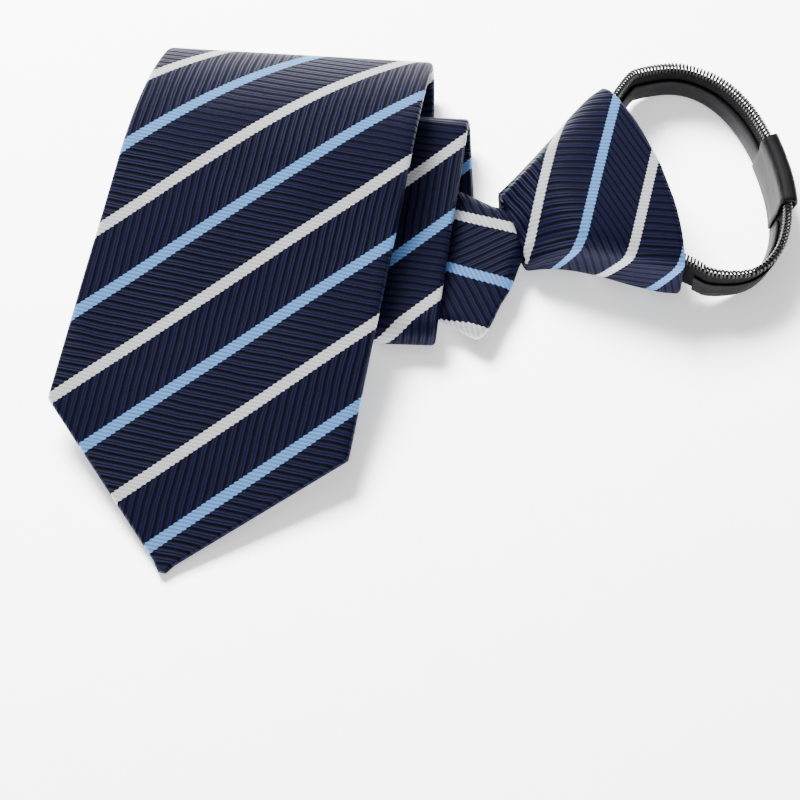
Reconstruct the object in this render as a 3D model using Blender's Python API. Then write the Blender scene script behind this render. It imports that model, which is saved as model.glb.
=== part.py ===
# A pre-knotted necktie with a zip neckband, lying folded on a flat surface.
# Metres, +Z up. The origin is the bottom middle of the bounding box, on the surface it lies on.
# The blade is one strip of cloth, rolled twice and folded once under its own front panel.
# It is described flat, as a strip with fold lines across it, and then folded up.
import math

import bmesh
import bpy
import numpy as np
from mathutils import Vector

MM = 0.001
GAP = 0.3 * MM            # air left between touching pieces

# Blade: the flat strip, measured from the tip towards the knot
BLADE_WIDTH = 81 * MM     # across the two corners above the tip
TIP_LENGTH = 39.5 * MM      # from the tip to the line of the corners
PANEL_LENGTH = 115.4 * MM # flat run from the tip to the outer roll
UNDER_LENGTH = 73.4 * MM    # run that lies on the surface
SECOND_LENGTH = 59 * MM   # the second layer that faces up
INNER_LENGTH = 43.5 * MM    # run between the inner roll and the diagonal fold
NECK_LENGTH = 38.5 * MM     # run from the diagonal fold to the mouth of the knot
NECK_INSIDE = 12 * MM     # run inside the knot
CLOTH = 2.2 * MM          # the folded cloth with its interlining
BUNDLE = 7.0 * MM         # thickness of the gathered cloth where it enters the knot

# Blade: how the strip is folded
TOP_ROLL = 55.7 * MM      # radius of the middle of the cloth over the broad top of the outer roll
TOP_TURN = math.radians(42)
BACK_ROLL = 8.2 * MM      # and down its back
LOWER_ROLL = 3.9 * MM
INNER_ROLL = 4.8 * MM
FOLD_RADIUS = 1.3 * MM
PANEL_TILT = math.radians(11.1)
SECOND_TILT = math.radians(4.0)
UNDER_HEADING = math.radians(274.4)   # plan direction of the run on the surface, towards the knot
OUTER_SKEW = math.radians(8.4)        # how far each fold line is from square to the strip
LOWER_SKEW = math.radians(6.45)
INNER_SKEW = math.radians(5.5)
FOLD_SKEW = math.radians(34.5)
BLADE_PLACE = (-19.5 * MM, 20.5 * MM)   # plan place where the run on the surface ends

# Knot: a wrapped shell, open at both ends
KNOT_LENGTH = 35 * MM
KNOT_NARROW = 24 * MM
KNOT_WIDE = 61 * MM
KNOT_THICK = 22 * MM
KNOT_WALL = 2.5 * MM
KNOT_SIDES = 28
KNOT_ROWS = 10
KNOT_ROUND = 2.6          # squareness of the section at the narrow mouth, and at the wide one
KNOT_SQUARE = 6.0
KNOT_TURN = math.radians(-4.5)       # from the neck's direction to the knot's
KNOT_DRIFT = 1.5 * MM                 # how far the wide end lies to the right
KNOT_BULGE = 4.5 * MM                 # how far the wide end bows out

# Zip neckband: stands on its edge like a bracelet
LOOP_LONG = 68 * MM
LOOP_SHORT = 43 * MM
LOOP_TURN = math.radians(86)        # from the knot's direction to the loop's long axis
LOOP_AHEAD = 50.8 * MM                # plan place of the loop's middle, from the knot's narrow mouth
LOOP_ASIDE = -0.7 * MM
LOOP_SQUARENESS = 2.25
TAPE_HEIGHT = 10.4 * MM
TAPE_THICK = 1.0 * MM
TEETH_HEIGHT = 2.4 * MM
TEETH_THICK = 2.4 * MM
BAND_HEIGHT = 6.4 * MM
BAND_THICK = 1.0 * MM
LEAN = 0.24               # how far the band leans out, per unit of height, where it leans most
LEAN_TURN = math.radians(-45)         # that place on the loop
TAPE_LIFT = 3.2 * MM      # how far the band rises from the surface to enter the knot
SLEEVE_LENGTH = 21 * MM
SLEEVE_WALL = 1.0 * MM
SLEEVE_CORNER = 0.6       # bevel of its corners, as a share of its half thickness
SLEEVE_TURN = math.radians(-10)        # where on the loop the two tapes meet
UPPER_TURN = math.radians(107)        # where the upper tape joins the loop
LOWER_TURN = math.radians(-105)
ROUTE_STEP = 3 * MM
ROUTE_TURNS = 14          # curve points on each side of the loop
CURVE_CUTS = 12           # cuts between two of them
LIFT_START = 24 * MM      # length of tape that is level at the knot's height
LIFT_RUN = 22 * MM        # length over which it comes down to the surface
BAND_START = 27 * MM      # the smooth band starts just outside the knot

# Spacing of the blade's sections, and which of its runs are bends
FLAT_STEP = 7 * MM
BLADE_CUTS = 8            # faces across it
BEND_STEP = 3.2 * MM
BENDS = (2, 4, 6, 8)

# The strip's half width as a share of the blade's, by its share of the length to the neck
STRIP_SHAPE = (
    # share along, share of half width
    (0.11, 1.000),
    (0.37, 0.930),
    (0.68, 0.700),
    (0.84, 0.690),
    (1.00, 0.670),
)

# The neck from the diagonal fold to the knot, as shares of its own length, of the strip's
# width there, and of the way to the gathered bundle's thickness above and below
NECK_SHAPE = (
    # along, width, above, below
    (0.00, 1.000, 0.00, 0.00),
    (0.25, 1.000, 0.00, 0.00),
    (0.55, 0.920, 0.00, 0.00),
    (0.80, 0.600, 0.50, 0.00),
    (0.92, 0.370, 0.85, 0.00),
    (1.00, 0.275, 1.00, 0.80),
)

# The knot's sections, as shares of its length, widths and thickness
KNOT_SHAPE = (
    # along, width (0 narrow to 1 wide), height
    (0.00, 0.00, 0.575),
    (0.10, 0.05, 0.74),
    (0.28, 0.19, 0.94),
    (0.50, 0.44, 1.00),
    (0.72, 0.73, 1.00),
    (0.90, 0.93, 1.00),
    (1.00, 1.00, 1.00),
)

# The section of the zip's coil, as shares of its thickness and height
TEETH_SHAPE = (
    # out, up
    (-0.50, 0.25),
    (-0.25, 0.00),
    (0.25, 0.00),
    (0.50, 0.25),
    (0.50, 0.75),
    (0.25, 1.00),
    (-0.25, 1.00),
    (-0.50, 0.75),
)

# The band's way into the knot, as shares of the knot's length and of its wide half width
BAND_LEAD = (
    # along, across
    (0.60, 0.30),
    (0.82, 0.62),
    (1.00, 0.80),
    (1.14, 0.96),
)

NAVY = (0.010, 0.012, 0.045, 1)
BLACK = (0.008, 0.008, 0.009, 1)


def clear_scene():
    for ob in list(bpy.data.objects):
        bpy.data.objects.remove(ob, do_unlink=True)


def material(name, colour, roughness):
    mat = bpy.data.materials.new(name)
    mat.use_nodes = True
    shader = mat.node_tree.nodes["Principled BSDF"]
    shader.inputs["Base Color"].default_value = colour
    shader.inputs["Roughness"].default_value = roughness
    shader.inputs["Metallic"].default_value = 0.0
    return mat


def heading(angle):
    return np.array([math.cos(angle), math.sin(angle), 0.0])


def smooth_table(rows, column):
    """A smooth function through one column of a table, by the table's first column."""
    xs = np.array([row[0] for row in rows])
    ys = np.array([row[column] for row in rows])
    slopes = np.gradient(ys, xs)

    def value(x):
        x = min(max(x, xs[0]), xs[-1])
        i = min(int(np.searchsorted(xs, x, side="right")) - 1, len(xs) - 2)
        span = xs[i + 1] - xs[i]
        t = (x - xs[i]) / span
        return (
            (2 * t**3 - 3 * t**2 + 1) * ys[i]
            + (t**3 - 2 * t**2 + t) * span * slopes[i]
            + (-2 * t**3 + 3 * t**2) * ys[i + 1]
            + (t**3 - t**2) * span * slopes[i + 1]
        )

    return value


def add_object(name, verts, faces, mat):
    mesh = bpy.data.meshes.new(name)
    mesh.from_pydata([tuple(v) for v in verts], [], faces)
    ob = bpy.data.objects.new(name, mesh)
    bpy.context.collection.objects.link(ob)
    bm = bmesh.new()
    bm.from_mesh(mesh)
    bmesh.ops.remove_doubles(bm, verts=bm.verts, dist=0.002 * MM)
    bmesh.ops.recalc_face_normals(bm, faces=bm.faces)
    if bm.calc_volume(signed=True) < 0:
        bmesh.ops.reverse_faces(bm, faces=bm.faces)
    bm.to_mesh(mesh)
    bm.free()
    mesh.materials.append(mat)
    mesh.shade_smooth()
    mesh.set_sharp_from_angle(angle=math.radians(40))
    return ob


def loft(name, rings, mat):
    """A closed solid through rings of points, with a flat cap at each end."""
    count = len(rings[0])
    verts = [p for ring in rings for p in ring]
    faces = []
    for r in range(len(rings) - 1):
        for i in range(count):
            j = (i + 1) % count
            faces.append((r * count + i, r * count + j, (r + 1) * count + j, (r + 1) * count + i))
    last = (len(rings) - 1) * count
    faces.append(tuple(range(count)))
    faces.append(tuple(last + i for i in reversed(range(count))))
    return add_object(name, verts, faces, mat)


def shell(name, outer, inner, mat):
    """A tube with a wall: outer and inner rings joined at both open ends."""
    count = len(outer[0])
    rows = len(outer)
    verts = [p for ring in outer for p in ring] + [p for ring in inner for p in ring]
    base = rows * count
    faces = []
    for r in range(rows - 1):
        for i in range(count):
            j = (i + 1) % count
            a, b = r * count, (r + 1) * count
            faces.append((a + i, a + j, b + j, b + i))
            faces.append((base + b + i, base + b + j, base + a + j, base + a + i))
    for r in (0, rows - 1):
        for i in range(count):
            j = (i + 1) % count
            faces.append((r * count + j, r * count + i, base + r * count + i, base + r * count + j))
    return add_object(name, verts, faces, mat)


class Strip:
    """A flat strip, laid out from one run and folded across lines in both directions."""

    def __init__(self, start, place, angle, height):
        along = heading(angle)
        across = heading(angle + math.pi / 2)
        corner = np.array([place[0], place[1], height]) - along * start
        self.root = (corner, along, across, np.array([0.0, 0.0, -1.0]))
        self.folds = {1: [], -1: []}
        self.last = {1: self.root, -1: self.root}

    def fold(self, way, at, skew, radius, angle):
        """Bends the strip from the line at, for all that lies beyond it in this way."""
        corner, along, across, face = self.last[way]
        step = (way * math.cos(skew), -way * math.sin(skew))
        line = (math.sin(skew), math.cos(skew))
        step3 = along * step[0] + across * step[1]
        line3 = along * line[0] + across * line[1]
        centre = corner + along * at - face * radius
        turned_face = face * math.cos(angle) + step3 * math.sin(angle)
        turned_step = step3 * math.cos(angle) - face * math.sin(angle)
        along2 = line3 * line[0] + turned_step * step[0]
        across2 = line3 * line[1] + turned_step * step[1]
        corner2 = centre + turned_face * radius - turned_step * radius * angle - along2 * at
        after = (corner2, along2, across2, turned_face)
        self.folds[way].append((at, step, line, radius, angle, face, step3, line3, centre, after))
        self.last[way] = after
        return at + way * radius * angle / math.cos(skew)

    def place(self, s, w, lift=0.0):
        """The point at s along and w across the flat strip, raised off the cloth by lift."""
        frame = self.root
        for way in (1, -1):
            for at, step, line, radius, angle, face, step3, line3, centre, after in self.folds[way]:
                far = (s - at) * step[0] + w * step[1]
                if far <= 0:
                    break
                turn = far / radius
                if turn < angle:
                    side = (s - at) * line[0] + w * line[1]
                    out = face * math.cos(turn) + step3 * math.sin(turn)
                    return centre + line3 * side + out * (radius + lift)
                frame = after
        return frame[0] + frame[1] * s + frame[2] * w + frame[3] * lift


def folded_strip():
    """The blade's strip, folded, with the flat places of its runs."""
    back_turn = math.pi + PANEL_TILT - TOP_TURN
    arc = (TOP_ROLL * TOP_TURN + BACK_ROLL * back_turn) / math.cos(OUTER_SKEW)
    under_start = PANEL_LENGTH + arc
    under_end = under_start + UNDER_LENGTH
    strip = Strip(under_end, BLADE_PLACE, UNDER_HEADING, CLOTH / 2)
    top = strip.fold(-1, under_start, OUTER_SKEW, BACK_ROLL, back_turn)
    strip.fold(-1, top, OUTER_SKEW, TOP_ROLL, TOP_TURN)
    second = strip.fold(1, under_end, LOWER_SKEW, LOWER_ROLL, math.pi - SECOND_TILT)
    inner = strip.fold(1, second + SECOND_LENGTH, INNER_SKEW, INNER_ROLL, math.pi + SECOND_TILT)
    neck = strip.fold(1, inner + INNER_LENGTH, FOLD_SKEW, FOLD_RADIUS, math.pi)
    return strip, (under_start, under_end, second, inner, neck)


def blade_section(s, neck):
    """Half width of the strip at s, and its reach above and below its middle at the centreline."""
    half = BLADE_WIDTH / 2 * smooth_table(STRIP_SHAPE, 1)(s / neck)
    if s < TIP_LENGTH:
        half *= max(s / TIP_LENGTH, 0.02)
    if s <= neck:
        return half, CLOTH / 2, CLOTH / 2
    share = min((s - neck) / NECK_LENGTH, 1)
    half *= smooth_table(NECK_SHAPE, 1)(share)
    above = min(max(smooth_table(NECK_SHAPE, 2)(share), 0.0), 1.0)
    below = min(max(smooth_table(NECK_SHAPE, 3)(share), 0.0), 1.0)
    swell = (BUNDLE - CLOTH) / 2
    return half, CLOTH / 2 + swell * above, CLOTH / 2 + swell * below


def make_blade(strip, places, cloth):
    under_start, under_end, second, inner, neck = places
    mouth = neck + NECK_LENGTH
    stops = [0.0, TIP_LENGTH, PANEL_LENGTH, under_start, under_end, second]
    stops += [second + SECOND_LENGTH, inner, inner + INNER_LENGTH, neck, mouth, mouth + NECK_INSIDE]
    shares = [2 * i / BLADE_CUTS - 1 for i in range(BLADE_CUTS + 1)]
    slants = [0, 0, OUTER_SKEW, OUTER_SKEW, LOWER_SKEW, LOWER_SKEW, INNER_SKEW, INNER_SKEW]
    slants = [math.tan(a) for a in slants + [FOLD_SKEW, FOLD_SKEW, 0, 0]]
    rings = []
    for middle in stations(stops):
        slant = np.interp(middle, stops, slants)
        upper = []
        lower = []
        for x in shares:
            guess = blade_section(middle, neck)[0]
            half = blade_section(middle + slant * guess * x, neck)[0]
            s = middle + slant * half * x
            _, above, below = blade_section(s, neck)
            crown = 1 - abs(x) ** 4
            upper.append(strip.place(s, half * x, CLOTH / 2 + (above - CLOTH / 2) * crown))
            lower.append(strip.place(s, half * x, -CLOTH / 2 - (below - CLOTH / 2) * crown))
        rings.append(upper + lower[::-1])
    return loft("blade", rings, cloth)


def stations(stops):
    """Places along the strip, closer where it bends."""
    found = []
    for i, (a, b) in enumerate(zip(stops, stops[1:])):
        bends = i in BENDS
        count = max(6 if bends else 2, round((b - a) / (BEND_STEP if bends else FLAT_STEP)))
        found += [a + (b - a) * k / count for k in range(count)]
    return found + [stops[-1]]


class Knot:
    """The knot's own directions: its narrow mouth sits round the end of the neck."""

    def __init__(self, strip, mouth):
        self.place = strip.place(mouth, 0) * np.array([1, 1, 0])
        ahead = strip.last[1][1]
        angle = math.atan2(ahead[1], ahead[0]) + KNOT_TURN
        self.angle = angle
        self.ahead = heading(angle)
        self.left = heading(angle + math.pi / 2)
        self.level = strip.place(mouth, 0)[2]

    def point(self, along, across):
        """A plan point by shares of the knot's length and of its wide half width, to the left."""
        drift = KNOT_DRIFT * along
        return self.place + self.ahead * KNOT_LENGTH * along + self.left * (KNOT_WIDE / 2 * across - drift)


def knot_section(knot, share, wall):
    """One closed ring of the knot, moved inwards by wall."""
    width = smooth_table(KNOT_SHAPE, 1)(share)
    half = (KNOT_NARROW + (KNOT_WIDE - KNOT_NARROW) * width) / 2
    thick = KNOT_THICK / 2 * smooth_table(KNOT_SHAPE, 2)(share)
    start = knot.place + np.array([0, 0, thick])
    ring = []
    for i in range(KNOT_SIDES):
        turn = 2 * math.pi * i / KNOT_SIDES
        c, s = math.cos(turn), math.sin(turn)
        power = 2 / (KNOT_ROUND + (KNOT_SQUARE - KNOT_ROUND) * share)
        x = math.copysign(abs(c) ** power, c)
        z = math.copysign(abs(s) ** power, s)
        bow = KNOT_BULGE * share * (1 - x * x)
        ring.append(
            start
            + knot.ahead * (KNOT_LENGTH * share + bow)
            - knot.left * (KNOT_DRIFT * share + (half - wall) * x)
            + np.array([0, 0, 1.0]) * (thick - wall) * z
        )
    return ring


def make_knot(knot, cloth):
    rows = [i / KNOT_ROWS for i in range(KNOT_ROWS + 1)]
    outer = [knot_section(knot, r, 0.0) for r in rows]
    inner = [knot_section(knot, r, KNOT_WALL) for r in rows]
    return shell("knot", outer, inner, cloth)


def loop_middle(knot):
    return knot.place + knot.ahead * LOOP_AHEAD + knot.left * LOOP_ASIDE


def loop_point(knot, turn):
    """A plan point of the neckband's loop, at this angle from its short axis."""
    c, s = math.cos(turn), math.sin(turn)
    power = 2 / LOOP_SQUARENESS
    x = LOOP_SHORT / 2 * math.copysign(abs(c) ** power, c)
    y = LOOP_LONG / 2 * math.copysign(abs(s) ** power, s)
    long = knot.angle + LOOP_TURN
    return loop_middle(knot) + heading(long - math.pi / 2) * x + heading(long) * y


def band_route(knot, side):
    """The plan route of one run of the band, from inside the knot to the sleeve, evenly spaced."""
    start = UPPER_TURN if side > 0 else LOWER_TURN
    lead = [knot.point(along, across * side) for along, across in BAND_LEAD]
    turns = [start + (SLEEVE_TURN - start) * i / ROUTE_TURNS for i in range(ROUTE_TURNS + 1)]
    return even_route(lead + [loop_point(knot, t) for t in turns], ROUTE_STEP)


def even_route(points, step):
    """A smooth curve through the points, cut into equal steps."""
    dense = []
    ends = [2 * points[0] - points[1]] + points + [2 * points[-1] - points[-2]]
    for i in range(1, len(ends) - 2):
        a, b, c, d = ends[i - 1:i + 3]
        for k in range(CURVE_CUTS):
            t = k / CURVE_CUTS
            dense.append(
                0.5 * (2 * b + (c - a) * t + (2 * a - 5 * b + 4 * c - d) * t * t
                       + (3 * b - a - 3 * c + d) * t**3)
            )
    dense.append(points[-1])
    reach = np.concatenate([[0], np.cumsum([np.linalg.norm(q - p) for p, q in zip(dense, dense[1:])])])
    count = max(4, round(reach[-1] / step))
    places = np.linspace(0, reach[-1], count + 1)
    return np.stack([np.interp(places, reach, np.array(dense)[:, k]) for k in range(3)], 1)


def side_of(route, middle_point):
    """The level direction that points out of the loop at each point of the route."""
    ahead = np.gradient(route, axis=0)
    out = np.stack([ahead[:, 1], -ahead[:, 0], 0 * ahead[:, 0]], 1)
    out /= np.linalg.norm(out, axis=1)[:, None]
    middle = len(route) // 2
    if np.dot(out[middle], route[middle] - middle_point) < 0:
        out = -out
    return out


def level_share(route):
    """One where the band is level at the knot's height, then smoothly down to none."""
    reach = np.concatenate([[0], np.cumsum(np.linalg.norm(np.diff(route, axis=0), axis=1))])
    share = np.clip(1 - (reach - LIFT_START) / LIFT_RUN, 0, 1)
    return share * share * (3 - 2 * share)


def band_lift(route):
    """How far the band stands off the surface: it rises to go into the knot."""
    return SLEEVE_WALL + GAP + TAPE_LIFT * level_share(route)


def band_slope(knot, route, out):
    """How far the band leans out at each point: none by the knot, most at its place on the loop."""
    far = heading(knot.angle + LOOP_TURN - math.pi / 2 + LEAN_TURN)
    return LEAN * np.clip(out @ far, 0, 1) * (1 - level_share(route))


def leaning(run, section):
    """Rings of a section of (out, up) points along the run, leaned out with the band."""
    rings = []
    for base, out, slope in zip(*run):
        rings.append([base + out * (x + slope * z) + np.array([0, 0, z]) for x, z in section])
    return rings


def make_neckband(knot, tape, teeth, band):
    half = TAPE_THICK / 2
    inside = half + GAP
    outside = inside + BAND_THICK
    flat = [(-half, 0.0), (half, 0.0), (half, TAPE_HEIGHT), (-half, TAPE_HEIGHT)]
    coil = [(TEETH_THICK * x, TAPE_HEIGHT + GAP + TEETH_HEIGHT * z) for x, z in TEETH_SHAPE]
    under = -GAP - BAND_THICK
    fold = [
        (-outside, under), (outside, under), (outside, BAND_HEIGHT), (inside, BAND_HEIGHT),
        (inside, -GAP), (-inside, -GAP), (-inside, BAND_HEIGHT), (-outside, BAND_HEIGHT),
    ]
    for side, word in ((1, "upper"), (-1, "lower")):
        route = band_route(knot, side)[:-1]
        out = side_of(route, loop_middle(knot))
        route = route + np.outer(band_lift(route), (0, 0, 1))
        run = (route, out, band_slope(knot, route, out))
        loft("zip_tape_" + word, leaning(run, flat), tape)
        loft("zip_teeth_" + word, leaning(run, coil), teeth)
        start, end = round(BAND_START / ROUTE_STEP), -round(SLEEVE_LENGTH / 2 / ROUTE_STEP)
        loft("neck_band_" + word, leaning([part[start:end] for part in run], fold), band)


def make_sleeve(knot, mat):
    """A flat tube round the joint of the two tapes."""
    upper = band_route(knot, 1)
    lower = band_route(knot, -1)[::-1]
    steps = round(SLEEVE_LENGTH / 2 / ROUTE_STEP)
    route = np.concatenate([upper[-steps - 1:-1], lower[:steps + 1]])
    out = side_of(route, loop_middle(knot))
    far = heading(knot.angle + LOOP_TURN - math.pi / 2 + LEAN_TURN)
    run = (route + np.array([0, 0, SLEEVE_WALL + GAP]), out, LEAN * np.clip(out @ far, 0, 1))
    clear = TEETH_THICK / 2 + GAP
    top = TAPE_HEIGHT + GAP + TEETH_HEIGHT + GAP
    outer = leaning(run, sleeve_section(clear + SLEEVE_WALL, -GAP - SLEEVE_WALL, top + SLEEVE_WALL))
    return shell("joint_sleeve", outer, leaning(run, sleeve_section(clear, -GAP, top)), mat)


def sleeve_section(half, low, high):
    corner = half * SLEEVE_CORNER
    return (
        (-half, low + corner), (-half + corner, low), (half - corner, low), (half, low + corner),
        (half, high - corner), (half - corner, high), (-half + corner, high), (-half, high - corner),
    )


def stand_on_floor(objects):
    """Moves everything so that the bounding box's bottom middle is the origin."""
    corners = np.array([v.co[:] for ob in objects for v in ob.data.vertices])
    low, high = corners.min(0), corners.max(0)
    shift = Vector((-(low[0] + high[0]) / 2, -(low[1] + high[1]) / 2, -low[2]))
    for ob in objects:
        for v in ob.data.vertices:
            v.co += shift
    return shift


def build():
    clear_scene()
    cloth = material("striped_cloth", NAVY, 0.55)
    tape = material("woven_tape", BLACK, 0.8)
    teeth = material("zip_teeth", BLACK, 0.35)
    band = material("smooth_band", BLACK, 0.45)
    strip, places = folded_strip()
    knot = Knot(strip, places[-1] + NECK_LENGTH)
    make_blade(strip, places, cloth)
    make_knot(knot, cloth)
    make_neckband(knot, tape, teeth, band)
    make_sleeve(knot, band)
    return stand_on_floor([ob for ob in bpy.data.objects if ob.type == "MESH"])


SHIFT = build()
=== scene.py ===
# The zipper tie, dressed for the photograph. Metres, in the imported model's own frame.
# The strip, knot and neckband functions repeat the CAD source's, with finer sections and maps.
import math

import bmesh
import bpy
import numpy as np
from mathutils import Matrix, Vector


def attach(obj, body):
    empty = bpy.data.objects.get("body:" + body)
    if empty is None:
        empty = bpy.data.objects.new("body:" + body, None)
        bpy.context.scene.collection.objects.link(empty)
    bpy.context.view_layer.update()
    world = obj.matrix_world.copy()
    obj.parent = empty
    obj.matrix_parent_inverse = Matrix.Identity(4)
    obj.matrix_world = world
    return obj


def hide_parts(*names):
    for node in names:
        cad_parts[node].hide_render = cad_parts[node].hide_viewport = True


MM = 0.001
GAP = 0.3 * MM

# Blade: the flat strip, measured from the tip towards the knot
BLADE_WIDTH = 81 * MM
TIP_LENGTH = 39.5 * MM
PANEL_LENGTH = 115.4 * MM
UNDER_LENGTH = 73.4 * MM
SECOND_LENGTH = 59 * MM
INNER_LENGTH = 43.5 * MM
NECK_LENGTH = 38.5 * MM
NECK_INSIDE = 12 * MM
CLOTH = 2.2 * MM
BUNDLE = 7.0 * MM

# Blade: how the strip is folded
TOP_ROLL = 55.7 * MM      # radius of the middle of the cloth over the broad top of the outer roll
TOP_TURN = math.radians(42)
BACK_ROLL = 8.2 * MM      # and down its back
LOWER_ROLL = 3.9 * MM
INNER_ROLL = 4.8 * MM
FOLD_RADIUS = 1.3 * MM
PANEL_TILT = math.radians(11.1)
SECOND_TILT = math.radians(4.0)
UNDER_HEADING = math.radians(274.4)
OUTER_SKEW = math.radians(8.4)
LOWER_SKEW = math.radians(6.45)
INNER_SKEW = math.radians(5.5)
FOLD_SKEW = math.radians(34.5)
BLADE_PLACE = (-19.5 * MM, 20.5 * MM)
TIP_BLUNT = 0.4 * MM
TIP_LEAST = 0.02          # the least share of its width that the tip keeps
LEAST_HALF = 0.1 * MM
CROWN_POWER = 4

# Knot
KNOT_LENGTH = 35 * MM
KNOT_NARROW = 24 * MM
KNOT_WIDE = 61 * MM
KNOT_THICK = 22 * MM
KNOT_WALL = 2.5 * MM
KNOT_ROUND = 2.6
KNOT_SQUARE = 6.0
KNOT_TURN = math.radians(-4.5)
KNOT_DRIFT = 1.5 * MM
KNOT_BULGE = 4.5 * MM
PLEAT_DEPTH = 0.35 * MM
PLEATS = 9

# Zip neckband
LOOP_LONG = 68 * MM
LOOP_SHORT = 43 * MM
LOOP_TURN = math.radians(86)
LOOP_AHEAD = 50.8 * MM
LOOP_ASIDE = -0.7 * MM
LOOP_SQUARENESS = 2.25
TAPE_HEIGHT = 10.4 * MM
TAPE_THICK = 1.0 * MM
TEETH_HEIGHT = 2.4 * MM
TEETH_THICK = 2.4 * MM
TAPE_OVERLAP = 0.2 * MM   # how far the tape reaches up between the legs of the coil
TAPE_CORNER = 0.35 * MM
COIL_PITCH = 1.0 * MM
COIL_RADIUS = 0.33 * MM
COIL_SQUARENESS = 0.6
COIL_SLANT = 0.25
COIL_SINK = 0.2
COIL_TUCK = 1.0 * MM
BAND_HEIGHT = 6.4 * MM
BAND_GAP = 0.1 * MM
BAND_THICK = 0.8 * MM
BAND_CORNER = 0.3 * MM
LEAN = 0.24
LEAN_TURN = math.radians(-45)
TAPE_LIFT = 3.2 * MM
SLEEVE_LENGTH = 21 * MM
SLEEVE_WALL = 1.0 * MM    # lifts the whole neckband off the floor
SLEEVE_COVER = 0.6 * MM   # thickness of the cover, outside the section below
SLEEVE_MIDDLE = 6.5 * MM
SLEEVE_TURN = math.radians(-10)
UPPER_TURN = math.radians(107)
LOWER_TURN = math.radians(-105)
LIFT_START = 24 * MM
LIFT_RUN = 22 * MM
BAND_START = 27 * MM

# How finely the forms are cut
BLADE_COLUMNS = 40
EDGE_COLUMNS = 5
BENDS = (2, 4, 6, 8)      # which stretches of the strip, between its stops, are bent
FLAT_STEP = 2.4 * MM
FLAT_CUTS = 3
BEND_STEP = 1.2 * MM
BEND_CUTS = 8
KNOT_ROWS = 40
KNOT_SIDES = 112
LIP_CUTS = 4
ROUTE_STEP = 1.5 * MM
ROUTE_TURNS = 14
CURVE_CUTS = 12
CORNER_CUTS = 4
COIL_SIDES = 6
COIL_CUTS = 8
AREA_CUTS = 300
WELD = 0.001 * MM

STRIP_SHAPE = (
    # share along, share of half width
    (0.11, 1.000),
    (0.37, 0.930),
    (0.68, 0.700),
    (0.84, 0.690),
    (1.00, 0.670),
)

NECK_SHAPE = (
    # along, width, above, below
    (0.00, 1.000, 0.00, 0.00),
    (0.25, 1.000, 0.00, 0.00),
    (0.55, 0.920, 0.00, 0.00),
    (0.80, 0.600, 0.50, 0.00),
    (0.92, 0.370, 0.85, 0.00),
    (1.00, 0.275, 1.00, 0.80),
)

KNOT_SHAPE = (
    # along, width (0 narrow to 1 wide), height
    (0.00, 0.00, 0.575),
    (0.10, 0.05, 0.74),
    (0.28, 0.19, 0.94),
    (0.50, 0.44, 1.00),
    (0.72, 0.73, 1.00),
    (0.90, 0.93, 1.00),
    (1.00, 1.00, 1.00),
)

BAND_LEAD = (
    # along, across
    (0.60, 0.30),
    (0.82, 0.62),
    (1.00, 0.80),
    (1.14, 0.96),
)

SLEEVE_SHAPE = (
    # out in mm, up in mm
    (0.75, -0.2),
    (1.05, 0.4),
    (1.15, 4.0),
    (1.20, 7.6),
    (1.60, 10.2),
    (1.75, 11.8),
    (1.35, 13.0),
    (0.60, 13.5),
)

# The slow unevenness of the front panel, from some way above its tip
RIPPLE_START = 25
RIPPLE_RUN = 45
RIPPLES = (
    # height in mm, turn per mm along, turn per mm across, first turn
    (0.34, 0.071, 0.060, 0.8),
    (0.22, 0.118, -0.083, 2.1),
    (0.10, 0.050, 0.190, 0.0),
)

PLAIN_MAPS = {
    # start along, start across, and the length and width that fill the map
    "blade": (0.0, 0.5, 460 * MM, 200 * MM),
    "knot": (0.5, 0.5, 120 * MM, 200 * MM),
    "band": (0.02, 0.1, 200 * MM, 50 * MM),
    "sleeve": (0.1, 0.1, 50 * MM, 80 * MM),
}

# Cloth pattern, in mm. The distance across the stripes is s less SLOPE times w.
SLOPE = 1.09
PERIOD = 47.8             # from one blue stripe to the next
FIRST_BLUE = 11.0
STRIPE_HALF = 2.15
STRIPE_WAVE = 0.42        # how far a stripe's edge waves from rib to rib
STRIPE_SOFT = 0.12        # how far its edge is soft
RIB = 2.15                # from one deep groove to the next
RIB_DRIFT = 0.9
THREAD = 0.42

# The pattern's shift along the strip, which changes only in the hidden runs
PATTERN_SHIFT = (
    # s in mm, shift in mm
    (0, 0.0),
    (180, 0.0),
    (254, 18.3),
    (338, 18.3),
    (382, 6.2),
    (460, 6.2),
)

# The knot's pattern: at its mouth's middle, growth for each mm ahead and to the left, and its least
KNOT_FIRST = 26.1
KNOT_AHEAD = 1.48
KNOT_LEFT = -0.92
KNOT_LEAST = 15.0

# The knot's two directions of ribs: growth for each mm ahead and to the left
LEVEL_RIBS = (-0.35625, -0.88065)
STEEP_RIBS = (1.23125, 0.2125)

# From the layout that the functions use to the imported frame
FRAME_SHIFT = Vector((-0.0078, -0.0270, 0.0))


def heading(angle):
    return np.array([math.cos(angle), math.sin(angle), 0.0])


def smooth_table(rows, column):
    """A smooth function through one column of a table, by the table's first column."""
    xs = np.array([row[0] for row in rows])
    ys = np.array([row[column] for row in rows])
    slopes = np.gradient(ys, xs)

    def value(x):
        x = min(max(x, xs[0]), xs[-1])
        i = min(int(np.searchsorted(xs, x, side="right")) - 1, len(xs) - 2)
        span = xs[i + 1] - xs[i]
        t = (x - xs[i]) / span
        return (
            (2 * t**3 - 3 * t**2 + 1) * ys[i]
            + (t**3 - 2 * t**2 + t) * span * slopes[i]
            + (-2 * t**3 + 3 * t**2) * ys[i + 1]
            + (t**3 - t**2) * span * slopes[i + 1]
        )

    return value


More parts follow.
